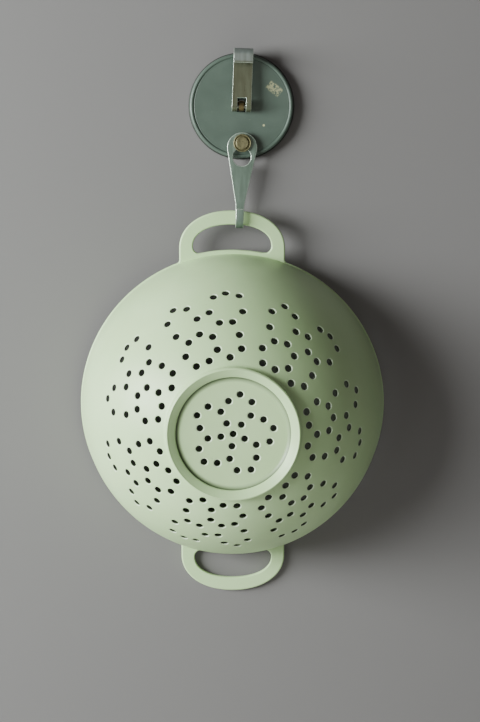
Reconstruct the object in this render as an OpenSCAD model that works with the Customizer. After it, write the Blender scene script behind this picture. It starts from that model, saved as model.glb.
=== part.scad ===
// Wall-hung colander on a lever-lock suction hook.
// Origin: centre of the pad's wall face. The wall is the plane y = 0 and the object stands off it
// towards -Y. X is to the right, Z is up.

/* [Suction pad] */
// Outer radius of the rubber pad
pad_radius = 43.2; // [35:0.1:50]
// Height of the pad's outer lip off the wall
pad_lip_height = 3.1; // [2:0.1:4]
// Width of the flat sealing band at the rim
pad_seal_width = 8.5; // [4:0.5:12]
// Radius of the raised centre boss
pad_boss_radius = 11; // [10.5:0.1:13]
// Radius of the steel disc moulded into the pad
insert_radius = 9; // [6:0.1:9.2]

/* [Cover plate] */
// Outer radius of the cover plate
plate_radius = 42.2; // [36:0.1:50]
// Sheet thickness of the cover plate
plate_thickness = 1.2; // [0.8:0.1:2]
// Height of the plate's face off the wall
plate_height = 9.2; // [9:0.1:12]
// Radius of the rolled bead round the plate's edge
bead_radius = 1.9; // [1.6:0.1:2.4]

/* [Cam lever] */
// Width of the lever
lever_width = 15.6; // [12:0.1:18]
// Sheet thickness of the lever
lever_thickness = 1.6; // [1.2:0.1:2]
// Length of the lever's straight strip
lever_length = 39; // [35:0.5:50]
// Lean of the strip towards the wall, in degrees
lever_lean = 5.5; // [3:0.5:7]
// Radius of the cam lobes
cam_radius = 5.2; // [5:0.1:6]
// Distance from the pin to the cam's centre
cam_throw = 1.8; // [1.2:0.1:2]
// Radius of the lever's pin
pin_radius = 1.5; // [1.2:0.1:1.8]

/* [Hook] */
// Height of the stud's axis below the plate's centre
stud_drop = 30; // [28:0.5:31]
// How far the stud sits to the right of the lever's middle
stud_side = 1.8; // [0:0.1:3]
// Radius of the stud's head
stud_head_radius = 7; // [6:0.1:7]
// Sheet thickness of the hook
hook_thickness = 2; // [1.5:0.1:2.2]
// Radius of the ring at the top of the hook
hook_ring_radius = 12.2; // [11.5:0.1:13]
// Radius of the keyhole's wide end
keyhole_radius = 7.4; // [7.2:0.1:7.5]
// Inner radius of the bend the handle hangs in
bend_radius = 6.2; // [6:0.1:7]

/* [Colander] */
// Outer radius of the bowl
bowl_radius = 120; // [110:1:130]
// Wall thickness of the bowl
bowl_wall = 1.8; // [1.6:0.1:3.5]
// Radius of the rim's lip
rim_radius = 125; // [124:0.5:128]
// Thickness of the rim's lip and the handles
flange_thickness = 4; // [3:0.1:4.5]
// Radius of a drain hole in the wall
wall_hole_radius = 2.6; // [2:0.1:2.6]
// Radius of a drain hole in the base
base_hole_radius = 2.4; // [2:0.1:2.5]
// Half width of a handle
handle_half_width = 43; // [38:0.5:48]
// How far the colander hangs to the left of its handle's middle
hang_offset = 6; // [0:0.5:10]

/* [Hidden] */
$fn = 96;

// lever mechanism: heights are off the wall, the second number is along Z
pin_z = -1;
cam_lift = cam_throw * cos(40);
cam_shift = cam_throw * sin(40);
cam_gap = 0.65;
cam_height = plate_height + cam_gap + cam_radius;
cam_z = pin_z + cam_shift;
pin_height = cam_height + cam_lift;
strip_inner = cam_radius - 0.05 - lever_thickness;
strip_outer = cam_radius - 0.05;
curl_inner = 4.2;
curl_outer = curl_inner + lever_thickness;
curl_lip = 6.7;

// hook plate and bend
hook_back = 12.3;
hook_front = hook_back + hook_thickness;
bend_outer = bend_radius + hook_thickness;
bend_height = hook_front + bend_radius;
bend_z = -90.7;
neck_radius = 3;
slot_radius = 3.08;
keyhole_z = -41.3;

// where the handle rests in the bend, and how the colander hangs there
rest_z = -95.7;
opening_top = 148.2;
handle_top = 159.5;
bar_middle = -10;
hang_tilt = asin((bend_height - flange_thickness / 2 - 0.3) / (opening_top + handle_top));
hang_lean = atan(hang_offset / opening_top);

// bowl profile
inner_radius = bowl_radius - bowl_wall;
base_out = 111.5;
base_in = base_out - bowl_wall;
flange_top = -8;
flange_low = flange_top - flange_thickness;

// past this tilt from the axis the wall opens on a wider arc, tangent to the sphere, out to the rim
flare_tilt = 62;
flare_end = rim_radius - 0.8;
flare_start = [bowl_radius * sin(flare_tilt), bowl_radius * cos(flare_tilt)];
flare_way = [sin(flare_tilt), cos(flare_tilt)];
flare_span = [flare_end, flange_top] - flare_start;
flare_radius = -(flare_span * flare_span) / (2 * (flare_span * flare_way));
flare_centre = flare_start - flare_radius * flare_way;
corner_fillet = 3;
corner_z = sqrt(pow(rim_radius + corner_fillet, 2) - pow(handle_half_width + corner_fillet, 2));
corner_turn = atan2(corner_z, handle_half_width + corner_fillet) - 180;

// drain holes in the flat base: [radius, angle], each five times round, and one at the centre
base_turn = 84.7;
base_holes = [[9.5, 36], [19.5, 33.6], [25.6, 12.9], [30.9, -4.6], [28.4, -24.9]];

// drain holes of one flower on the wall: [turn, tilt from the axis], repeated seven times round
flower_turn = 102;
flower_count = 7;
flower_holes = [[16.5, 29], [-10, 29], [6, 29], [-18, 32.5], [-1.5, 32.5], [20, 34.5],
  [0, 38], [-16, 38], [14.5, 39], [7, 40.5], [-12, 43.5], [-5, 43.5],
  [19.5, 44], [6, 47.5], [-17, 48.5], [-0.5, 49], [20.5, 51.5], [9.5, 54],
  [15.5, 56.5], [-15, 56.5], [-3.5, 56.5], [-9, 58]];

// a superellipse arc from the right to the left, as a list of points
function oval(a, b, e, y0, n) = [for (i = [0:n])
  let (t = 180 * i / n, c = cos(t), s = sin(t))
  [a * sign(c) * pow(abs(c), 2 / e), y0 + b * pow(abs(s), 2 / e)]];

// an arc of a circle, as a list of points
function arc(cx, cy, r, a0, a1, n) = [for (i = [0:n])
  let (t = a0 + (a1 - a0) * i / n)
  [cx + r * cos(t), cy + r * sin(t)]];

// turns a shape drawn flat so that it faces off the wall: local z is the height off the wall
module off_wall() {
  rotate([90, 0, 0]) children();
}

// extrudes an outline across the width: first number is the height off the wall, second is Z
module across(w) {
  rotate([90, 0, -90]) translate([0, 0, -w / 2]) linear_extrude(w) children();
}

// soft rubber pad with a hollow under it and a boss for the draw stud
module suction_pad() {
  color([0.07, 0.075, 0.07])
  off_wall() rotate_extrude() difference() {
    polygon([
      [0, 3.1],
      [pad_radius - pad_seal_width - 20, 2.2],
      [pad_radius - pad_seal_width, 0],
      [pad_radius - 0.6, 0],
      [pad_radius, 0.8],
      [pad_radius, pad_lip_height - 0.9],
      [pad_radius - 0.9, pad_lip_height],
      [34, pad_lip_height],
      [24, 4.3],
      [13, 5.0],
      [pad_boss_radius, 5.6],
      [pad_boss_radius, 7],
      [0, 7]
    ]);
    translate([-1, 3.9]) square([insert_radius + 1.3, 1.6]);
    translate([-1, 3.9]) square([6.3, 4]);
  }
}

// steel disc held inside the pad
module pad_insert() {
  color([0.45, 0.46, 0.45])
  off_wall() translate([0, 0, 4]) difference() {
    cylinder(r = insert_radius, h = 1.4);
    translate([0, 0, -1]) cylinder(r = 2.55, h = 4);
  }
}

// pressed steel cover with a rolled edge, an opening for the draw stud and a hole for the hook stud
module cover_plate() {
  color([0.36, 0.42, 0.38])
  off_wall() difference() {
    rotate_extrude() {
      translate([0, plate_height - plate_thickness]) square([plate_radius - 3.3, plate_thickness]);
      translate([plate_radius - bead_radius, 7.9]) intersection() {
        difference() {
          circle(r = bead_radius);
          circle(r = bead_radius - plate_thickness);
        }
        translate([-5, 0]) square([10, 5]);
      }
      translate([plate_radius - plate_thickness, 3.6]) square([plate_thickness, 4.31]);
    }
    translate([-4.4, -4.9, 5]) cube([8.8, 10.9, 8]);
    translate([stud_side, -stud_drop, 5]) cylinder(r = 3.02, h = 8);
  }
}

// brass stud that pulls the pad: stem, collar, flat tongue and eye for the lever's pin
module draw_stud() {
  color([0.42, 0.33, 0.18]) {
    off_wall() {
      translate([0, 0, 4]) cylinder(r = 2.5, h = 2);
      translate([0, 0, 5.4]) cylinder(r = 4.1, h = 1.2);
    }
    difference() {
      union() {
        across(3.8) translate([6.2, pin_z - 3.4]) square([pin_height - 6.2, 6.8]);
        across(3.8) translate([pin_height, pin_z]) circle(r = 3.4);
      }
      across(10) translate([pin_height, pin_z]) circle(r = pin_radius + 0.05);
    }
  }
}

// outline of one cam lobe and of the strip with its finger curl
module lever_side() {
  translate([cam_height, cam_z]) {
    circle(r = cam_radius);
    rotate(lever_lean) {
      translate([strip_inner, 0]) square([lever_thickness, lever_length]);
      translate([strip_outer + curl_inner, lever_length]) {
        intersection() {
          difference() {
            circle(r = curl_outer);
            circle(r = curl_inner);
          }
          translate([-curl_outer - 1, 0]) square([2 * curl_outer + 2, curl_outer + 1]);
        }
        translate([curl_inner, -curl_lip]) square([lever_thickness, curl_lip + 0.01]);
      }
    }
  }
}

// locking lever: two cam lobes joined by a strip that ends in a finger curl
module lever() {
  color([0.40, 0.41, 0.36])
  difference() {
    across(lever_width) lever_side();
    // gap between the lobes for the draw stud, open at the front and the bottom
    translate([-3.55, -pin_height - 14, cam_z - 8]) cube([7.1, 28, 14]);
    across(lever_width + 4) translate([pin_height, pin_z]) circle(r = pin_radius + 0.02);
  }
}

// pin through the lobes and the draw stud's eye
module lever_pin() {
  color([0.50, 0.50, 0.47])
  across(lever_width + 1) translate([pin_height, pin_z]) circle(r = pin_radius);
}

// riveted stud the hook swings on: tail, shank, shoulder, neck and head
module hook_stud() {
  color([0.50, 0.44, 0.30])
  off_wall() translate([stud_side, -stud_drop, 0]) rotate_extrude() polygon([
    [0, 5.9],
    [4.2, 5.9],
    [4.6, 6.3],
    [4.6, 7],
    [3, 7],
    [3, plate_height],
    [4.6, plate_height],
    [4.6, 12],
    [neck_radius, 12],
    [neck_radius, 14.6],
    [stud_head_radius - 0.3, 14.6],
    [stud_head_radius, 14.9],
    [stud_head_radius, 16.3],
    [stud_head_radius - 0.7, 17],
    [0, 17]
  ]);
}

// washer under the stud's riveted tail
module hook_stud_washer() {
  color([0.55, 0.55, 0.53])
  off_wall() translate([stud_side, -stud_drop, 7]) difference() {
    cylinder(r = 6.5, h = 1);
    translate([0, 0, -1]) cylinder(r = 3.05, h = 3);
  }
}

// flat hook with a keyhole for the stud and a bend that carries a handle
module swing_hook() {
  color([0.44, 0.48, 0.45]) translate([stud_side, 0, 0]) {
    off_wall() translate([0, 0, hook_back]) linear_extrude(hook_thickness) difference() {
      union() {
        translate([0, -33.7]) circle(r = hook_ring_radius);
        polygon([[-11.9, -36.4], [-3.6, -80], [-3.2, bend_z], [3.2, bend_z], [3.6, -80], [11.9, -36.4]]);
      }
      translate([0, -stud_drop]) circle(r = slot_radius);
      translate([-slot_radius, keyhole_z]) square([2 * slot_radius, -stud_drop - keyhole_z]);
      translate([0, keyhole_z]) circle(r = keyhole_radius);
    }
    across(6.4) {
      translate([bend_height, bend_z]) intersection() {
        difference() {
          circle(r = bend_outer);
          circle(r = bend_radius);
        }
        translate([-bend_outer - 1, -bend_outer - 1]) square([2 * bend_outer + 2, bend_outer + 1]);
      }
      translate([bend_height + bend_radius, bend_z - 0.01]) square([hook_thickness, 7.7]);
    }
  }
}

// half section of the bowl: a sphere with a flat base, then the wider arc, then the rim's lip
module bowl_section() {
  intersection() {
    difference() {
      circle(r = bowl_radius);
      difference() {
        circle(r = inner_radius);
        translate([-1, base_in]) square([80, 20]);
      }
    }
    polygon([[0, 50], [0, base_out], [60, base_out], 1.4 * flare_start, 0.8 * flare_start]);
  }
  intersection() {
    translate(flare_centre) difference() {
      circle(r = flare_radius);
      circle(r = flare_radius - bowl_wall);
    }
    polygon([[60, flange_low], 0.8 * flare_start, 1.4 * flare_start, [160, flange_low]]);
  }
  polygon([[flare_end - 1.5, flange_low], [rim_radius - 0.8, flange_low], [rim_radius, flange_low + 0.8],
    [rim_radius, flange_top - 0.6], [rim_radius - 0.4, flange_top], [flare_end - 1.5, flange_top]]);
}

// ring the bowl stands on
module foot_section() {
  polygon([[42.2, 110], [50.3, 106], [52.6, 107.6], [52.4, 108.4], [51.8, 109.5], [51.5, 114.4],
    [51.0, 115.2], [50.2, 115.5], [49.4, 115.3], [48.9, 114.9], [43.2, 111.8], [42.2, 111.5]]);
}

// outline of one handle, with a small fillet where each side meets the rim
module handle_outline() {
  side = arc(handle_half_width + corner_fillet, corner_z, corner_fillet, corner_turn, -180, 6);
  polygon(concat(
    [[-handle_half_width, 113.6], [handle_half_width, 113.6]],
    side,
    oval(handle_half_width, handle_top - 128.5, 2.15, 128.5, 48),
    [for (i = [len(side) - 1:-1:0]) [-side[i][0], side[i][1]]]
  ));
}

// outline of the opening in a handle
module handle_opening() {
  polygon(concat(
    oval(32, 18, 2.2, 130.2, 40),
    arc(-26.5, 130.2, 5.5, 186, 258, 6),
    [for (i = [0:12]) let (x = -24.6 + 4.1 * i) [x, sqrt(127.5 * 127.5 - x * x)]],
    arc(26.5, 130.2, 5.5, -78, -6, 6)
  ));
}

// the colander as it is moulded: bowl axis along z, handles along y
module colander_body() {
  difference() {
    union() {
      rotate_extrude($fn = 180) bowl_section();
      rotate_extrude($fn = 180) foot_section();
      for (turn = [0, 180])
        rotate([0, 0, turn]) translate([0, 0, flange_low]) linear_extrude(flange_thickness) difference() {
          handle_outline();
          circle(r = rim_radius - 3.5);
        }
    }
    for (turn = [0, 180])
      rotate([0, 0, turn]) translate([0, 0, flange_low - 2])
        linear_extrude(flange_thickness + 4) handle_opening();
    translate([0, 0, base_in - 3]) cylinder(r = base_hole_radius, h = 8, $fn = 24);
    for (hole = base_holes)
      for (k = [0:4])
        rotate([0, 0, base_turn + hole[1] + 72 * k]) translate([hole[0], 0, base_in - 3])
          cylinder(r = base_hole_radius, h = 8, $fn = 24);
    for (hole = flower_holes)
      for (k = [0:flower_count - 1])
        rotate([0, 0, flower_turn + hole[0] + 360 * k / flower_count]) rotate([0, hole[1], 0])
          translate([0, 0, inner_radius - 4]) cylinder(r = wall_hole_radius, h = 10, $fn = 24);
  }
}

// the colander hanging by its top handle in the hook's bend, leaning back on the wall
module colander() {
  color([0.68, 0.75, 0.62])
  translate([stud_side, -bend_height, rest_z]) rotate([hang_tilt, 0, 0]) rotate([0, -hang_lean, 0]) off_wall()
    translate([-hang_offset, -opening_top, -bar_middle]) colander_body();
}

suction_pad();
pad_insert();
cover_plate();
draw_stud();
lever();
lever_pin();
hook_stud();
hook_stud_washer();
swing_hook();
colander();
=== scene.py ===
import math

import bmesh
import bpy
import numpy as np
from mathutils import Matrix, Vector


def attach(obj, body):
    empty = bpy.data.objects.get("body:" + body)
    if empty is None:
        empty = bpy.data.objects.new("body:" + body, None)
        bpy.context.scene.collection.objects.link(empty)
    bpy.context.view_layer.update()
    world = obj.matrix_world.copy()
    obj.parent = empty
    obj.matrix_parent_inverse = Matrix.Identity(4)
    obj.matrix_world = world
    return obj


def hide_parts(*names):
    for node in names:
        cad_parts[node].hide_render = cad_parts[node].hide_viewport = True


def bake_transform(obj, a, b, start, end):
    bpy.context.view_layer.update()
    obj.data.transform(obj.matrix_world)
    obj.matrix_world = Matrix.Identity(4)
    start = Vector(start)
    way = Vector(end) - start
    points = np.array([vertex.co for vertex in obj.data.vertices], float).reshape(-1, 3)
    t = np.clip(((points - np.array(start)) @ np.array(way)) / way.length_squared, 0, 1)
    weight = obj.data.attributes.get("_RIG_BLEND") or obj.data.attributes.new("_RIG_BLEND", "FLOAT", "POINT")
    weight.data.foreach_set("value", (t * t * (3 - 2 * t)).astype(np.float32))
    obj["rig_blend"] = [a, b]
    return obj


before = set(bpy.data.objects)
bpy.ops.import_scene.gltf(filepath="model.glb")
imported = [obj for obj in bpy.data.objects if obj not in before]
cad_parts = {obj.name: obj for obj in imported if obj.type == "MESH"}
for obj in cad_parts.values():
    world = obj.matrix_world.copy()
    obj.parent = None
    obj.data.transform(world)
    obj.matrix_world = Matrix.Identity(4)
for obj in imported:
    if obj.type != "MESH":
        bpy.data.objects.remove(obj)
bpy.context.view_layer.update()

MM = 0.001
OFF_WALL = Matrix.Rotation(math.radians(90), 4, "X")

# ---------------------------------------------------------------- dimensions, in mm, as in the CAD
STUD_X = 1.8
STUD_Z = -30.0
STUD_HEAD_R = 7.0
BEND_HEIGHT = 20.5
REST_Z = -95.7
OPENING_TOP = 148.2
HANDLE_TOP = 159.5
HANG_OFFSET = 6.0
HANG_TILT = math.asin((BEND_HEIGHT - 2.3) / (OPENING_TOP + HANDLE_TOP))
HANG_LEAN = math.atan(HANG_OFFSET / OPENING_TOP)
BOWL_R = 120.0
BOWL_WALL = 1.8
INNER_R = BOWL_R - BOWL_WALL
BASE_OUT = 111.5
BASE_IN = BASE_OUT - BOWL_WALL
WALL_HOLE_R = 2.6
BASE_HOLE_R = 2.35
LIP_OUT = 1.15
LIP_IN = 0.3
PLATE_R = 42.2
PLATE_FACE = 9.2
STUD_SHANK_R = 3.02
PAD_R = 43.2
FLANGE_TOP = -8.0
FLANGE_LOW = -12.0
FLANGE_MID = 10.0
HANDLE_HALF = 43.0
HANDLE_BEND = 128.5
OPENING_BEND = 130.2
BOWL_STEPS = 288
FLARE_TILT = 62
RIM_R = 125.0
FLARE_END = (RIM_R - 0.8, FLANGE_TOP)
BASE_TURN = 84.7
BASE_HOLES = [(9.5, 36), (19.5, 33.6), (25.6, 12.9), (30.9, -4.6), (28.4, -24.9)]
FLOWER_TURN = 102
FLOWER_COUNT = 7
FLOWER_HOLES = [
    (16.5, 29), (-10, 29), (6, 29), (-18, 32.5), (-1.5, 32.5), (20, 34.5),
    (0, 38), (-16, 38), (14.5, 39), (7, 40.5), (-12, 43.5), (-5, 43.5),
    (19.5, 44), (6, 47.5), (-17, 48.5), (-0.5, 49), (20.5, 51.5), (9.5, 54),
    (15.5, 56.5), (-15, 56.5), (-3.5, 56.5), (-9, 58),
]


# ---------------------------------------------------------------- mesh helpers
def arc(cx, cy, r, a0, a1, n):
    """n + 1 points of a circle's arc, angles in degrees."""
    return [
        (cx + r * math.cos(math.radians(a0 + (a1 - a0) * i / n)),
         cy + r * math.sin(math.radians(a0 + (a1 - a0) * i / n)))
        for i in range(n + 1)
    ]


def tidy_path(points, gap=1e-4):
    """The points of a path without the ones that repeat."""
    out = [points[0]]
    for p in points[1:]:
        if math.dist(p, out[-1]) > gap:
            out.append(p)
    return out


def rounded(points, radii, n=5):
    """A closed path with its corners rounded: one radius for each corner, 0 to leave it.

    A radius that reaches past the end of an edge isn't caught, and makes the path cross itself.
    """
    out = []
    count = len(points)
    for i, (p, r) in enumerate(zip(points, radii)):
        p = Vector(p)
        if r <= 0:
            out.append(tuple(p))
            continue
        u = (Vector(points[i - 1]) - p).normalized()
        v = (Vector(points[(i + 1) % count]) - p).normalized()
        half = u.angle(v) / 2
        reach = r / math.tan(half)
        centre = p + (u + v).normalized() * (r / math.sin(half))
        a = p + u * reach - centre
        b = p + v * reach - centre
        turn = math.atan2(a.x * b.y - a.y * b.x, a.dot(b))
        for k in range(n + 1):
            t = turn * k / n
            out.append((centre.x + a.x * math.cos(t) - a.y * math.sin(t),
                        centre.y + a.x * math.sin(t) + a.y * math.cos(t)))
    return tidy_path(out)


def lathe(bm, path, segments, matrix=Matrix()):
    """Revolves a closed (r, z) path about z; points at r = 0 become one vertex."""
    rings = []
    for r, z in path:
        if r < 1e-6:
            rings.append([bm.verts.new(matrix @ Vector((0, 0, z)))])
        else:
            rings.append([
                bm.verts.new(matrix @ Vector((r * math.cos(2 * math.pi * k / segments),
                                              r * math.sin(2 * math.pi * k / segments), z)))
                for k in range(segments)
            ])
    for a, b in zip(rings, rings[1:] + rings[:1]):
        for k in range(segments):
            m = (k + 1) % segments
            corners = [a[k % len(a)], a[m % len(a)], b[m % len(b)], b[k % len(b)]]
            unique = []
            for c in corners:
                if c not in unique:
                    unique.append(c)
            if len(unique) > 2:
                bm.faces.new(unique)


def stack(bm, loops):
    """Joins equal loops of 3D points into a closed solid with flat ends."""
    rings = [[bm.verts.new(p) for p in loop] for loop in loops]
    n = len(rings[0])
    for a, b in zip(rings, rings[1:]):
        for k in range(n):
            m = (k + 1) % n
            bm.faces.new((a[k], a[m], b[m], b[k]))
    bm.faces.new(list(reversed(rings[0])))
    bm.faces.new(rings[-1])


def shifted(points, d):
    """A closed outline moved outwards by d along its own normals."""
    n = len(points)
    area = sum(points[i][0] * points[(i + 1) % n][1] - points[(i + 1) % n][0] * points[i][1]
               for i in range(n))
    side = 1 if area > 0 else -1
    out = []
    for i, p in enumerate(points):
        t1 = (Vector(p) - Vector(points[i - 1])).normalized()
        t2 = (Vector(points[(i + 1) % n]) - Vector(p)).normalized()
        t = (t1 + t2).normalized()
        out.append((p[0] + side * t.y * d, p[1] - side * t.x * d))
    return out


def finish_mesh(bm, name, recalc=True):
    if recalc:
        bmesh.ops.recalc_face_normals(bm, faces=bm.faces)
    me = bpy.data.meshes.new(name)
    bm.to_mesh(me)
    bm.free()
    return me


def make_object(name, me):
    o = bpy.data.objects.new(name, me)
    bpy.context.scene.collection.objects.link(o)
    return o


def combine(base, tool, operation):
    """The boolean of two meshes as a new mesh."""
    a, b = make_object("work_a", base), make_object("work_b", tool)
    m = a.modifiers.new("cut", "BOOLEAN")
    m.operation, m.object, m.solver = operation, b, "MANIFOLD"
    result = bpy.data.meshes.new_from_object(a.evaluated_get(bpy.context.evaluated_depsgraph_get()))
    for o in (a, b):
        bpy.data.objects.remove(o)
    return result


def smooth(me, angle=None):
    me.shade_smooth()
    if angle is not None:
        me.set_sharp_from_angle(angle=math.radians(angle))


def add_piece(name, me, body, nodes, materials):
    o = make_object(name, me)
    index = np.zeros(len(me.polygons), np.int32)
    me.polygons.foreach_get("material_index", index)
    me.materials.clear()
    for m in materials:
        me.materials.append(m)
    me.polygons.foreach_set("material_index", np.minimum(index, len(materials) - 1))
    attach(o, body)
    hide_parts(*nodes)
    return o


# ---------------------------------------------------------------- material helpers
class Shader:
    """A Principled material with its nodes added one at a time."""

    def __init__(self, name, **values):
        self.mat = bpy.data.materials.new(name)
        self.mat.use_nodes = True
        self.tree = self.mat.node_tree
        self.bsdf = next(n for n in self.tree.nodes if n.type == "BSDF_PRINCIPLED")
        for key, value in values.items():
            self.bsdf.inputs[key.replace("_", " ")].default_value = value
        self.where = self.tree.nodes.new("ShaderNodeTexCoord").outputs["Object"]

    def node(self, kind, inputs=(), **settings):
        n = self.tree.nodes.new(kind)
        for key, value in settings.items():
            setattr(n, key, value)
        for key, value in dict(inputs).items():
            if isinstance(value, bpy.types.NodeSocket):
                self.tree.links.new(value, n.inputs[key])
            else:
                n.inputs[key].default_value = value
        return n

    def to(self, key, socket):
        self.tree.links.new(socket, self.bsdf.inputs[key])

    def place(self, scale=(1, 1, 1), offset=(0, 0, 0)):
        return self.node("ShaderNodeMapping", {
            "Vector": self.where, "Scale": scale, "Location": offset}).outputs[0]

    def across_wall(self, x, z):
        """The two coordinates in the plane of the wall, measured from the point (x, z) in metres."""
        out = self.node("ShaderNodeSeparateXYZ", {0: self.place((1, 1, 1), (-x, 0, -z))}).outputs
        return out[0], out[2]

    def length(self, x, z):
        flat = self.node("ShaderNodeCombineXYZ", {0: x, 1: 0.0, 2: z}).outputs[0]
        return self.node("ShaderNodeVectorMath", {0: flat}, operation="LENGTH").outputs["Value"]

    def noise(self, scale, detail=3, rough=0.55, stretch=(1, 1, 1)):
        return self.node("ShaderNodeTexNoise", {
            "Vector": self.place(stretch), "Scale": scale, "Detail": detail,
            "Roughness": rough}).outputs["Fac"]

    def span(self, socket, a, b, low, high):
        return self.node("ShaderNodeMapRange", {
            "Value": socket, "From Min": a, "From Max": b, "To Min": low, "To Max": high},
            interpolation_type="SMOOTHSTEP").outputs[0]

    def maths(self, operation, a, b=0.0):
        return self.node("ShaderNodeMath", {0: a, 1: b}, operation=operation).outputs[0]

    def blend(self, factor, a, b):
        n = self.tree.nodes.new("ShaderNodeMix")
        n.data_type = "RGBA"
        for key, value in ((0, factor), (6, a), (7, b)):
            if isinstance(value, bpy.types.NodeSocket):
                self.tree.links.new(value, n.inputs[key])
            else:
                n.inputs[key].default_value = value
        return n.outputs[2]

    def bump(self, height, strength, distance, under=None):
        inputs = {"Height": height, "Strength": strength, "Distance": distance}
        if under is not None:
            inputs["Normal"] = under
        return self.node("ShaderNodeBump", inputs).outputs[0]


def colour(r, g, b):
    """A linear colour from 0-255 screen values."""
    def one(v):
        v /= 255
        return v / 12.92 if v <= 0.04045 else ((v + 0.055) / 1.055) ** 2.4
    return (one(r), one(g), one(b), 1.0)


def melamine():
    """Pale green moulding, with painted shade darkening the drain holes' bores and a painted highlight
    lightening their lips.
    """
    s = Shader("colander_melamine", Roughness=0.42, IOR=1.5)
    s.bsdf.inputs["Coat Weight"].default_value = 0.12
    s.bsdf.inputs["Coat Roughness"].default_value = 0.28
    s.bsdf.inputs["Subsurface Weight"].default_value = 0.06
    s.bsdf.inputs["Subsurface Radius"].default_value = (0.6, 0.8, 0.5)
    s.bsdf.inputs["Subsurface Scale"].default_value = 0.002
    cloud = s.noise(14, 4)
    fine = s.noise(900, 3)
    base = s.blend(s.span(cloud, 0.3, 0.7, 0, 1), colour(190, 217, 163), colour(198, 224, 172))
    specks = s.span(s.noise(420, 2, 0.4), 0.74, 0.8, 0, 0.22)
    tone = s.blend(specks, base, colour(150, 160, 136))
    # painted shade: the inner walls of the drain holes are coloured near-black
    bore_shade = s.maths("MULTIPLY", s.node("ShaderNodeAttribute", attribute_name="bore_shade").outputs["Fac"], 0.95)
    # painted highlight: the outer lips of the drain holes are coloured near-white
    lip = s.maths("MULTIPLY", s.node("ShaderNodeAttribute", attribute_name="lip").outputs["Fac"], 0.8)
    s.to("Base Color", s.blend(bore_shade, s.blend(lip, tone, colour(240, 250, 228)), colour(38, 41, 32)))
    s.to("Roughness", s.span(s.maths("ADD", cloud, fine), 0.7, 1.3, 0.36, 0.5))
    s.to("Normal", s.bump(fine, 0.12, 0.0002, s.bump(s.noise(60, 2), 0.05, 0.002)))
    return s.mat


def plate_paint():
    """Grey-green paint with a rubbed patch, one chip and light scuffs."""
    s = Shader("plate_paint", Roughness=0.45, Metallic=0.0, IOR=1.5)
    s.bsdf.inputs["Coat Weight"].default_value = 0.15
    s.bsdf.inputs["Coat Roughness"].default_value = 0.3
    cloud = s.noise(40, 4)
    base = s.blend(s.span(cloud, 0.3, 0.7, 0, 1), colour(73, 86, 78), colour(81, 94, 86))
    # rubbed patch where a label was scraped off, and one small chip
    x, z = s.across_wall(0.0262, 0.0148)
    along = s.maths("ADD", s.maths("MULTIPLY", x, 0.80), s.maths("MULTIPLY", z, -0.60))
    across = s.maths("ADD", s.maths("MULTIPLY", x, 0.60), s.maths("MULTIPLY", z, 0.80))
    inside = s.maths("MULTIPLY",
                     s.span(s.maths("ABSOLUTE", along), 0.0052, 0.0068, 1, 0),
                     s.span(s.maths("ABSOLUTE", across), 0.0026, 0.0046, 1, 0))
    ragged = s.span(s.noise(520, 4, 0.7), 0.44, 0.54, 0, 1)
    patch = s.maths("MULTIPLY", inside, ragged)
    chip = s.span(s.length(*s.across_wall(0.0187, -0.0150)), 0.0006, 0.0011, 1, 0)
    worn = s.maths("MAXIMUM", s.maths("MULTIPLY", patch, 0.7), chip)
    scuffs = s.span(s.noise(160, 5, 0.7, (1, 1, 5)), 0.64, 0.72, 0, 0.3)
    tint = s.blend(scuffs, base, colour(118, 131, 120))
    s.to("Base Color", s.blend(worn, tint, colour(186, 182, 142)))
    s.to("Roughness", s.span(s.noise(120, 3), 0.3, 0.7, 0.38, 0.52))
    peel = s.bump(s.noise(700, 2), 0.1, 0.0003)
    s.to("Normal", s.bump(s.maths("SUBTRACT", 1.0, worn), 0.25, 0.0001, peel))
    return s.mat


def steel(name, dark, light, grain, metallic=0.9, rough=(0.28, 0.42), spots=0.25):
    s = Shader(name, Metallic=metallic)
    streaks = s.noise(260, 4, 0.6, grain)
    cloud = s.noise(55, 4)
    tone = s.span(s.maths("ADD", streaks, s.maths("MULTIPLY", cloud, 0.6)), 0.55, 1.05, 0, 1)
    base = s.blend(tone, dark, light)
    stains = s.span(s.noise(120, 5, 0.7), 0.6, 0.72, 0, spots)
    shade = tuple(c * 0.45 for c in dark[:3]) + (1.0,)
    s.to("Base Color", s.blend(stains, base, shade))
    s.to("Roughness", s.span(streaks, 0.3, 0.7, rough[0], rough[1]))
    s.to("Normal", s.bump(streaks, 0.12, 0.0001))
    return s.mat


def lever_steel():
    """Olive-grey steel, brushed along its length, with a painted reflection on the finger roll at the top:
    paler and cooler there.
    """
    s = Shader("lever_steel", Metallic=0.5)
    streaks = s.noise(260, 4, 0.6, (1, 1, 0.05))
    cloud = s.noise(55, 4)
    tone = s.span(s.maths("ADD", streaks, s.maths("MULTIPLY", cloud, 0.6)), 0.55, 1.05, 0, 1)
    strip = s.blend(tone, colour(86, 87, 70), colour(104, 106, 88))
    # painted reflection: the finger roll at the top is coloured paler and bluer, standing for the sky it
    # reflects
    curl_reflection = s.blend(tone, colour(112, 117, 112), colour(136, 142, 140))
    height = s.node("ShaderNodeSeparateXYZ", {0: s.where}).outputs[2]
    s.to("Base Color", s.blend(s.span(height, 0.0335, 0.0365, 0, 1), strip, curl_reflection))
    s.to("Roughness", s.span(streaks, 0.3, 0.7, 0.26, 0.42))
    s.to("Normal", s.bump(streaks, 0.12, 0.0001))
    return s.mat


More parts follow.
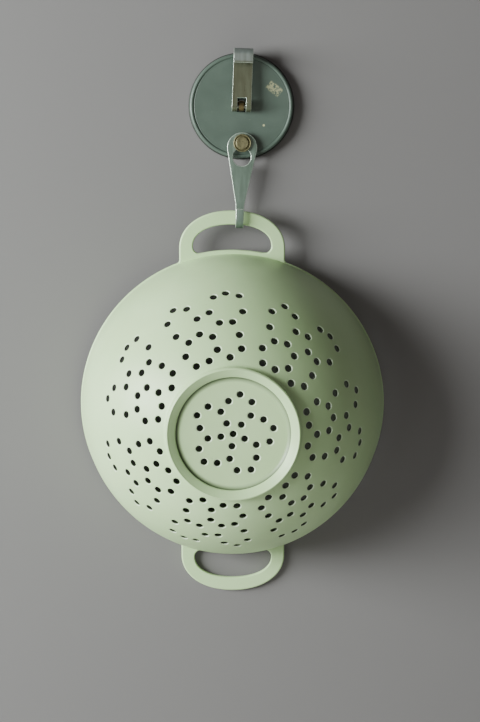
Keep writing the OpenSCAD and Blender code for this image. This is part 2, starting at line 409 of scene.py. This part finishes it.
def turned_brass(name, dark, light, axis_x, axis_z, rings=True):
    s = Shader(name, Metallic=0.55)
    radius = s.length(*s.across_wall(axis_x, axis_z))
    ripple = s.maths("SINE", s.maths("MULTIPLY", radius, 14000.0 if rings else 0.0))
    cloud = s.noise(240, 4, 0.6)
    base = s.blend(s.span(cloud, 0.32, 0.68, 0, 1), dark, light)
    spots = s.span(s.noise(700, 4, 0.7), 0.5, 0.66, 0, 0.6)
    s.to("Base Color", s.blend(spots, base, tuple(c * 0.55 for c in dark[:3]) + (1.0,)))
    s.to("Roughness", s.span(cloud, 0.3, 0.7, 0.42, 0.6))
    s.to("Normal", s.bump(ripple, 0.15, 0.00008, s.bump(cloud, 0.1, 0.0002)))
    return s.mat


def rubber():
    s = Shader("pad_rubber", Roughness=0.7)
    fine = s.noise(800, 3)
    s.to("Base Color", s.blend(s.noise(60, 3), colour(34, 37, 33), colour(48, 52, 46)))
    s.to("Roughness", s.span(fine, 0.3, 0.7, 0.6, 0.8))
    s.to("Normal", s.bump(fine, 0.15, 0.0003))
    return s.mat


MELAMINE = melamine()
PLATE = plate_paint()
LEVER = lever_steel()
# pale colour on every rounded edge of the lever and hook: partly worn metal, partly a painted highlight along
# the edges
EDGE = steel("edge_wear_and_highlight", colour(186, 196, 184), colour(214, 222, 212), (1, 1, 0.3), metallic=0.55,
             rough=(0.25, 0.35), spots=0.1)
HOOK = steel("hook_steel", colour(102, 116, 106), colour(122, 137, 127), (1, 1, 0.12), metallic=0.5,
             rough=(0.36, 0.5), spots=0.3)
PIN = steel("pin_steel", colour(140, 140, 130), colour(170, 170, 160), (0.1, 1, 1))
INSERT = steel("insert_steel", colour(120, 122, 118), colour(150, 152, 148), (1, 1, 1))
STUD = turned_brass("stud_brass", colour(102, 96, 70), colour(126, 118, 88), STUD_X * MM, STUD_Z * MM)
DRAW = turned_brass("draw_brass", colour(74, 62, 38), colour(104, 88, 56), 0, -0.001, rings=False)
RUBBER = rubber()


# ---------------------------------------------------------------- colander
def flare():
    """Centre, radius and end angle of the arc that carries the wall from the sphere out to the rim."""
    way = Vector((math.sin(math.radians(FLARE_TILT)), math.cos(math.radians(FLARE_TILT))))
    start = way * BOWL_R
    span = Vector(FLARE_END) - start
    radius = -span.length_squared / (2 * span.dot(way))
    centre = start - way * radius
    return centre, radius, math.degrees(math.asin((FLARE_END[1] - centre.y) / radius))


def colander_profile():
    """The bowl's section as one closed (r, z) path: outside from the middle of the base, then back inside."""
    foot = rounded(
        [(42.0, BASE_OUT), (49.0, 114.95), (50.2, 115.75), (51.45, 114.9), (51.8, 109.6), (53.0, 107.55)],
        [1.2, 0.5, 0.6, 0.9, 1.0, 0.0], 5)[:-1]
    start = math.degrees(math.atan2(107.3, 53.8))
    turn = 90 - FLARE_TILT
    centre, radius, end = flare()
    outside = [(0, BASE_OUT), (20, BASE_OUT), (40.0, BASE_OUT)] + foot
    outside += arc(0, 0, BOWL_R, start, turn, 34) + arc(centre.x, centre.y, radius, turn, end + 0.3, 24)
    edge = INNER_R - BOWL_R + radius
    low = math.degrees(math.asin((FLANGE_LOW - centre.y) / edge))
    rim = rounded([(FLARE_END[0] - 0.15, -7.0), FLARE_END, (RIM_R, -8.4), (RIM_R, FLANGE_LOW),
                   (centre.x + edge, FLANGE_LOW), (centre.x + edge, -9.0)], [0, 0.3, 0.7, 1.3, 0.8, 0], 6)
    inside = arc(centre.x, centre.y, edge, low + 1.4, turn, 24)
    inside += arc(0, 0, INNER_R, turn, math.degrees(math.asin(BASE_IN / INNER_R)) - 0.6, 30)
    corner = [(43.3, BASE_IN - 0.05), (42.0, BASE_IN), (20, BASE_IN), (0, BASE_IN)]
    return tidy_path(outside + rim[1:-1] + inside + corner)


def oval(a, b, e, y0, n):
    """The upper half of a superellipse, from right to left, standing on y = y0."""
    out = []
    for i in range(n + 1):
        t = math.pi * i / n
        c, s = math.cos(t), math.sin(t)
        out.append((a * math.copysign(abs(c) ** (2 / e), c), y0 + b * abs(s) ** (2 / e)))
    return out


def handle_outline():
    half, fillet = HANDLE_HALF, 3.0
    level = math.sqrt((RIM_R + fillet) ** 2 - (half + fillet) ** 2)
    turn = math.degrees(math.atan2(level, half + fillet)) - 180
    side = arc(half + fillet, level, fillet, turn, -180, 6)
    side += [(half, y) for y in np.linspace(level, HANDLE_BEND, 6)[1:-1]]
    top = oval(half, HANDLE_TOP - HANDLE_BEND, 2.15, HANDLE_BEND, 96)
    base = [(x, math.sqrt(122.2 ** 2 - x * x)) for x in np.linspace(-43.5, 43.5, 25)]
    return tidy_path(side + top + [(-x, y) for x, y in reversed(side)] + base)


def opening_outline():
    low = [(x, math.sqrt(127.5 ** 2 - x * x)) for x in np.linspace(-24.6, 24.6, 25)]
    points = (oval(32, 18, 2.2, OPENING_BEND, 80) + arc(-26.5, OPENING_BEND, 5.5, 186, 254, 8)
              + low + arc(26.5, OPENING_BEND, 5.5, -74, -6, 8))
    return tidy_path(points, 0.02)


def slab(bm, outline, z0, z1, edge, turn):
    """A flat plate with rounded edges."""
    spin = Matrix.Rotation(turn, 4, "Z")
    angles = np.radians(np.linspace(0, 90, 6))
    steps = [(z0 + edge * (1 - math.cos(t)), edge * (1 - math.sin(t))) for t in angles]
    angles = np.radians(np.linspace(90, 0, 6))
    steps += [(z1 - edge * (1 - math.cos(t)), edge * (1 - math.sin(t))) for t in angles]
    stack(bm, [[spin @ Vector((x, y, z)) for x, y in shifted(outline, -inset)] for z, inset in steps])


def flared(bm, outline, z0, z1, edge, turn):
    """A cutter that leaves rounded edges on both faces of a plate."""
    spin = Matrix.Rotation(turn, 4, "Z")
    angles = np.radians(np.linspace(80, 0, 6))
    steps = [(z0 - 0.4, edge * (1 - math.cos(angles[0])) + 0.4 * math.tan(angles[0]) * 0.9)]
    steps += [(z0 + edge * (1 - math.sin(t)), edge * (1 - math.cos(t))) for t in angles]
    steps += [(z0 + z1 - z, out) for z, out in reversed(steps)]
    stack(bm, [[spin @ Vector((x, y, z)) for x, y in shifted(outline, out)] for z, out in steps])


def drill(bm, matrix, s0, s1, r, segments=28):
    """A cutter along z through a wall from s0 to s1: a soft lip outside and a small one inside."""
    angles = np.radians(np.linspace(78, 0, 5))

    def lip(size):
        return [(-0.25, size * (1 - math.cos(angles[0])) + 1.1)] + [
            (size * (1 - math.sin(t)), size * (1 - math.cos(t))) for t in angles]

    steps = [(s0 + d, out) for d, out in lip(LIP_IN)]
    steps += [(s1 - d, out) for d, out in reversed(lip(LIP_OUT))]
    stack(bm, [[matrix @ Vector(((r + out) * math.cos(2 * math.pi * k / segments),
                                 (r + out) * math.sin(2 * math.pi * k / segments), s))
                for k in range(segments)] for s, out in steps])


def build_colander():
    """The bowl, its foot ring, rim and handles as one moulding, drilled, hung and leaning on the wall."""
    bm = bmesh.new()
    lathe(bm, colander_profile(), BOWL_STEPS)
    body = finish_mesh(bm, "colander_body")
    for turn in (0, math.pi):
        bm = bmesh.new()
        slab(bm, handle_outline(), FLANGE_LOW, FLANGE_TOP, 1.3, turn)
        body = combine(body, finish_mesh(bm, "handle"), "UNION")
    bm = bmesh.new()
    for turn in (0, math.pi):
        flared(bm, opening_outline(), FLANGE_LOW, FLANGE_TOP, 1.1, turn)
    drill(bm, Matrix(), BASE_IN, BASE_OUT, BASE_HOLE_R)
    for radius, angle in BASE_HOLES:
        for k in range(5):
            a = math.radians(BASE_TURN + angle + 72 * k)
            drill(bm, Matrix.Translation((radius * math.cos(a), radius * math.sin(a), 0)),
                  BASE_IN, BASE_OUT, BASE_HOLE_R)
    for turn, tilt in FLOWER_HOLES:
        for k in range(FLOWER_COUNT):
            spin = Matrix.Rotation(math.radians(FLOWER_TURN + turn + 360 * k / FLOWER_COUNT), 4, "Z")
            drill(bm, spin @ Matrix.Rotation(math.radians(tilt), 4, "Y"), INNER_R, BOWL_R, WALL_HOLE_R)
    body = combine(body, finish_mesh(bm, "cutters"), "DIFFERENCE")

    # normals: exact on the sphere and on the flat faces, averaged on the rounded edges
    count = len(body.vertices)
    co = np.zeros(count * 3)
    body.vertices.foreach_get("co", co)
    co = co.reshape(-1, 3)
    smooth(body)
    normal = np.zeros(count * 3)
    body.vertices.foreach_get("normal", normal)
    normal = normal.reshape(-1, 3)
    dist = np.linalg.norm(co, axis=1)
    radial = co / dist[:, None]
    z = co[:, 2]
    joint = BOWL_R * math.cos(math.radians(FLARE_TILT))
    outer = (abs(dist - BOWL_R) < 0.03) & (z > joint) & (z < 107.4)
    inner = (abs(dist - INNER_R) < 0.03) & (z > joint) & (z < BASE_IN - 0.1)
    normal[outer] = radial[outer]
    normal[inner] = -radial[inner]
    for level, way in ((FLANGE_TOP, 1), (FLANGE_LOW, -1), (BASE_OUT, 1), (BASE_IN, -1)):
        flat = abs(z - level) < 2e-3
        normal[flat] = (0, 0, way)

    # where each point lies down a drain hole: 1 on the hole's inner wall, where shade is painted, or 1 on its
    # outer lip, where a highlight is painted
    depth = np.where(np.hypot(co[:, 0], co[:, 1]) < 42, BASE_OUT - z, BOWL_R - dist)
    bore_shade = np.clip((depth - 0.25) / 0.5, 0, 1) * np.clip((BOWL_WALL - depth - 0.02) / 0.1, 0, 1) * (z > joint)
    lip = np.interp(depth, [0.005, 0.06, 0.3, 0.6], [0, 1, 1, 0]) * (z > joint)
    for name, values in (("bore_shade", bore_shade), ("lip", lip)):
        body.attributes.new(name, "FLOAT", "POINT").data.foreach_set("value", values.astype(np.float32))

    place = (Matrix.Translation((STUD_X, -BEND_HEIGHT, REST_Z)) @ Matrix.Rotation(HANG_TILT, 4, "X")
             @ Matrix.Rotation(-HANG_LEAN, 4, "Y") @ OFF_WALL
             @ Matrix.Translation((-HANG_OFFSET, -OPENING_TOP, FLANGE_MID)))
    body.transform(Matrix.Scale(MM, 4) @ place)
    turned = normal @ np.array(place.to_3x3()).T
    body.normals_split_custom_set_from_vertices([tuple(n) for n in turned])
    return add_piece("colander_moulding", body, "colander", ["colander"], [MELAMINE])


# ---------------------------------------------------------------- holder
def lathed(name, path, body, nodes, material, at=(0, 0), segments=160, sharp=38, cut=None):
    """A turned piece that faces off the wall; path is (radius, height off the wall) in mm."""
    bm = bmesh.new()
    lathe(bm, path, segments, Matrix.Translation((*at, 0)))
    me = finish_mesh(bm, name)
    for tool in cut or []:
        me = combine(me, tool, "DIFFERENCE")
    me.transform(Matrix.Scale(MM, 4) @ OFF_WALL)
    smooth(me, sharp)
    o = add_piece(name, me, body, nodes, [material])
    w = o.modifiers.new("weighted", "WEIGHTED_NORMAL")
    w.keep_sharp = True
    return o


def box_mesh(x0, x1, y0, y1, z0, z1, corner):
    bm = bmesh.new()
    outline = rounded([(x0, y0), (x1, y0), (x1, y1), (x0, y1)], [corner] * 4, 5)
    stack(bm, [[Vector((x, y, z)) for x, y in outline] for z in (z0, z1)])
    return finish_mesh(bm, "box")


def build_holder():
    # cover plate: face, shallow valley, rolled bead and skirt, 1.2 mm thick
    edge = PLATE_R
    top = [(r, PLATE_FACE) for r in (0, 12, 24, 34, edge - 5.1)] + [(edge - 4.4, 9.12)]
    top += arc(edge - 3.5, 10.0, 0.95, 235, 300, 4) + arc(edge - 1.9, 7.9, 1.9, 112, 0, 16)
    top += [(edge, 6), (edge, 4.0)] + arc(edge - 0.6, 4.0, 0.6, 0, -180, 8)
    under = [(edge - 1.2, 6), (edge - 1.2, 7.9)] + arc(edge - 1.9, 7.9, 0.7, 0, 112, 8)
    under += [(edge - 2.9, 8.15), (edge - 3.5, 8.0), (34, 8.0), (24, 8.0), (12, 8.0), (0, 8.0)]
    bm = bmesh.new()
    lathe(bm, [(STUD_SHANK_R, 5), (STUD_SHANK_R, 12), (0, 12), (0, 5)], 48,
          Matrix.Translation((STUD_X, STUD_Z, 0)))
    lathed("plate", tidy_path(top + under), "wall_plate", ["cover_plate"], PLATE,
           segments=200, cut=[box_mesh(-4.4, 4.4, -4.9, 6, 5, 13, 0.8), finish_mesh(bm, "stud_hole")])

    # riveted stud and its washer; the stud's first and last radii reach past the ends of their
    # edges, so its section crosses itself at the tail and leaves a groove round the head
    stud = [(0, 5.9)] + rounded(
        [(4.6, 5.9), (4.6, 7), (3, 7), (3, PLATE_FACE), (4.6, PLATE_FACE), (4.6, 12), (3, 12),
         (3, 14.6), (STUD_HEAD_R, 14.6), (STUD_HEAD_R, 16.5), (STUD_HEAD_R - 0.9, 17.0)],
        [0.35, 0.2, 0, 0, 0.2, 0.3, 0.2, 0.2, 0.3, 0.55, 0.9], 5)
    stud += [(4.6, 17.0), (3.2, 17.0), (1.2, 16.92), (0, 16.9)]
    lathed("stud", stud, "wall_plate", ["hook_stud"], STUD, (STUD_X, STUD_Z), 96)
    washer = rounded([(3.05, 7), (6.5, 7), (6.5, 8), (3.05, 8)], [0.1, 0.25, 0.25, 0.1], 3)
    lathed("stud_washer", washer, "wall_plate", ["hook_stud_washer"], INSERT,
           (STUD_X, STUD_Z), 96)

    # rubber pad with a moulded lip; its middle follows the draw stud when the lever is opened
    pad = [(0, 3.1), (6, 3.1), (14, 2.2), (22, 1.3), (29, 0.5), (34.5, 0.0), (38, 0.0)]
    pad += [(PAD_R - 0.9, 0.0)] + arc(PAD_R - 0.8, 0.8, 0.8, -80, 0, 5) + arc(PAD_R - 1.0, 2.1, 1.0, 0, 90, 6)
    pad += [(39, 3.1), (34, 3.15), (29, 3.65), (24, 4.3), (18, 4.75), (13, 5.0), (11.4, 5.3), (11, 5.9)]
    pad += arc(10.4, 6.4, 0.6, 0, 90, 4)
    pad += [(7, 7.0), (4.7, 7.0), (4.7, 5.5), (9.3, 5.5), (9.3, 3.9), (4, 3.9), (0, 3.9)]
    bm = bmesh.new()
    lathe(bm, tidy_path(pad), 160)
    me = finish_mesh(bm, "pad")
    me.transform(Matrix.Scale(MM, 4) @ OFF_WALL)
    smooth(me, 45)
    me.materials.append(RUBBER)
    o = make_object("pad", me)
    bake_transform(o, "wall_plate", "draw_stud", start=(0, 0, 0), end=(0, -0.007, 0))
    # the pull is at the middle of the pad and dies out towards its lip
    reach = np.array([math.hypot(v.co.x, v.co.z) for v in me.vertices])
    share = np.clip((0.033 - reach) / (0.033 - 0.0125), 0, 1)
    me.attributes["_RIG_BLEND"].data.foreach_set("value", (share * share * (3 - 2 * share)).astype(np.float32))
    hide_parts("suction_pad")


def refined(name, node, body, materials, width, limit=32, segments=2, edge_index=-1, sharp=50):
    """A CAD node's shape with its hard edges rounded; the rounded edges may take a material of their own."""
    bm = bmesh.new()
    bm.from_mesh(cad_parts[node].data)
    bmesh.ops.remove_doubles(bm, verts=bm.verts, dist=5e-5)
    bmesh.ops.dissolve_limit(bm, angle_limit=math.radians(0.5), verts=bm.verts, edges=bm.edges)
    hard = [e for e in bm.edges if len(e.link_faces) == 2 and e.calc_face_angle(0) > math.radians(limit)]
    bmesh.ops.bevel(bm, geom=hard, offset=width * MM, segments=segments, profile=0.5, affect="EDGES",
                    clamp_overlap=True, material=edge_index)
    bmesh.ops.triangulate(bm, faces=[f for f in bm.faces if len(f.verts) > 4])
    me = finish_mesh(bm, name, False)
    smooth(me, sharp)
    o = add_piece(name, me, body, [node], materials)
    w = o.modifiers.new("weighted", "WEIGHTED_NORMAL")
    w.keep_sharp = True
    return o


build_colander()
build_holder()
refined("cam_lever", "lever", "lever", [LEVER, EDGE], 0.6, edge_index=1)
refined("cam_pin", "lever_pin", "lever", [PIN], 0.25)
refined("draw_eye", "draw_stud", "draw_stud", [DRAW], 0.25)
refined("pad_disc", "pad_insert", "draw_stud", [INSERT], 0.15)
refined("hook_plate", "swing_hook", "hook", [HOOK, EDGE], 0.4, edge_index=1)


# ---------------------------------------------------------------- wall, floor, light, camera
def plain(name, rgb, rough):
    s = Shader(name, Roughness=rough)
    s.to("Base Color", s.blend(s.noise(3, 3), tuple(c * 0.97 for c in rgb[:3]) + (1,), rgb))
    return s


def flat_panel(name, corners, material):
    me = bpy.data.meshes.new(name)
    me.from_pydata(corners, [], [(0, 1, 2, 3)])
    me.materials.append(material)
    o = make_object(name, me)
    return o


# metres
WALL_Y = 0.0004
FLOOR_Z = -1.3
ROOM = 3
WALL_TOP = 2.5
wall = plain("wall_paint", colour(122, 117, 119), 0.75)
# the wall shows only from the room, so that views from behind see the object
tree = wall.tree
mix = tree.nodes.new("ShaderNodeMixShader")
tree.links.new(tree.nodes.new("ShaderNodeNewGeometry").outputs["Backfacing"], mix.inputs[0])
tree.links.new(wall.bsdf.outputs[0], mix.inputs[1])
tree.links.new(tree.nodes.new("ShaderNodeBsdfTransparent").outputs[0], mix.inputs[2])
tree.links.new(mix.outputs[0], next(n for n in tree.nodes if n.type == "OUTPUT_MATERIAL").inputs[0])
flat_panel("wall", [(-ROOM, WALL_Y, FLOOR_Z), (ROOM, WALL_Y, FLOOR_Z),
                    (ROOM, WALL_Y, WALL_TOP), (-ROOM, WALL_Y, WALL_TOP)],
           wall.mat)
flat_panel("floor", [(-ROOM, -4, FLOOR_Z), (ROOM, -4, FLOOR_Z), (ROOM, 3, FLOOR_Z), (-ROOM, 3, FLOOR_Z)],
           plain("floor_paint", colour(222, 220, 216), 0.7).mat)


def lamp(name, where, target, size, power, tint=(1, 1, 1)):
    data = bpy.data.lights.new(name, "AREA")
    data.shape = "RECTANGLE"
    data.size, data.size_y = size
    data.energy, data.color = power, tint
    o = bpy.data.objects.new(name, data)
    bpy.context.scene.collection.objects.link(o)
    o.location = where
    o.rotation_mode = "QUATERNION"
    o.rotation_quaternion = (Vector(target) - Vector(where)).to_track_quat("-Z", "Y")
    return o


lamp("key", (-1.68, -0.9, 0.02), (0.0, -0.04, -0.2), (1.7, 0.7), 108, (0.91, 1.0, 0.95))
lamp("fill", (0.3, -2.4, 0.5), (0, 0, -0.2), (1.6, 1.6), 5, (1.0, 0.94, 0.84))
lamp("back", (-0.7, 1.6, 0.5), (0, 0, -0.2), (1.6, 1.6), 4)
world = bpy.data.worlds.new("studio")
world.use_nodes = True
world.node_tree.nodes["Background"].inputs[0].default_value = (0.92, 0.95, 0.93, 1)
world.node_tree.nodes["Background"].inputs[1].default_value = 0.045
bpy.context.scene.world = world

camera = bpy.data.cameras.new("camera")
camera.sensor_width = 36
camera.lens = 87.84
camera.clip_end = 50
eye = bpy.data.objects.new("camera", camera)
bpy.context.scene.collection.objects.link(eye)
eye.matrix_world = (
    Matrix.Translation((-0.0158, -1.4553, -0.0511))
    @ Matrix.Rotation(math.radians(-0.891), 4, "Z")
    @ Matrix.Rotation(math.radians(90 - 6.213), 4, "X")
    @ Matrix.Rotation(math.radians(2.181), 4, "Z")
)
bpy.context.scene.camera = eye
